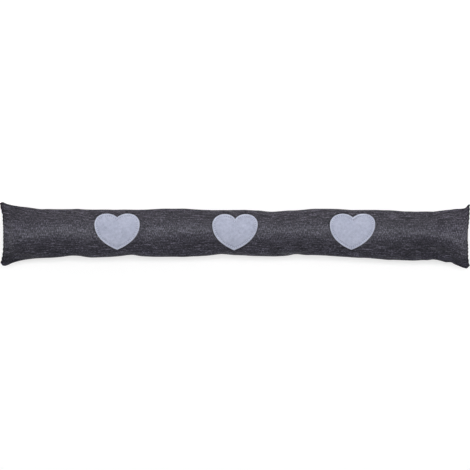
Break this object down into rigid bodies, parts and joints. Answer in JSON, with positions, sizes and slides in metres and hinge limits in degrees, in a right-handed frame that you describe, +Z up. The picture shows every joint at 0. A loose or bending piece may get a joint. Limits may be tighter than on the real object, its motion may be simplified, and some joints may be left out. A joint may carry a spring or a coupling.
{
  "type": "draught excluder",
  "caption": "Long filled cloth tube with flat sewn ends and felt hearts along its front, for laying against the foot of a door.",
  "frame": {"origin": "on the surface it lies on, under the middle of its box", "axes": "+X along the tube, +Y across it towards the tops of the hearts, +Z up out of the front"},
  "size_m": [0.9, 0.125, 0.0724],
  "materials": {
    "cover_cloth": "woven, slubbed, slightly lustrous",
    "heart_felt": "matt felt"
  },
  "bodies": {
    "root": {"cover": "cover_cloth", "heart_left": "heart_felt", "heart_middle": "heart_felt", "heart_right": "heart_felt"}
  },
  "joints": []
}
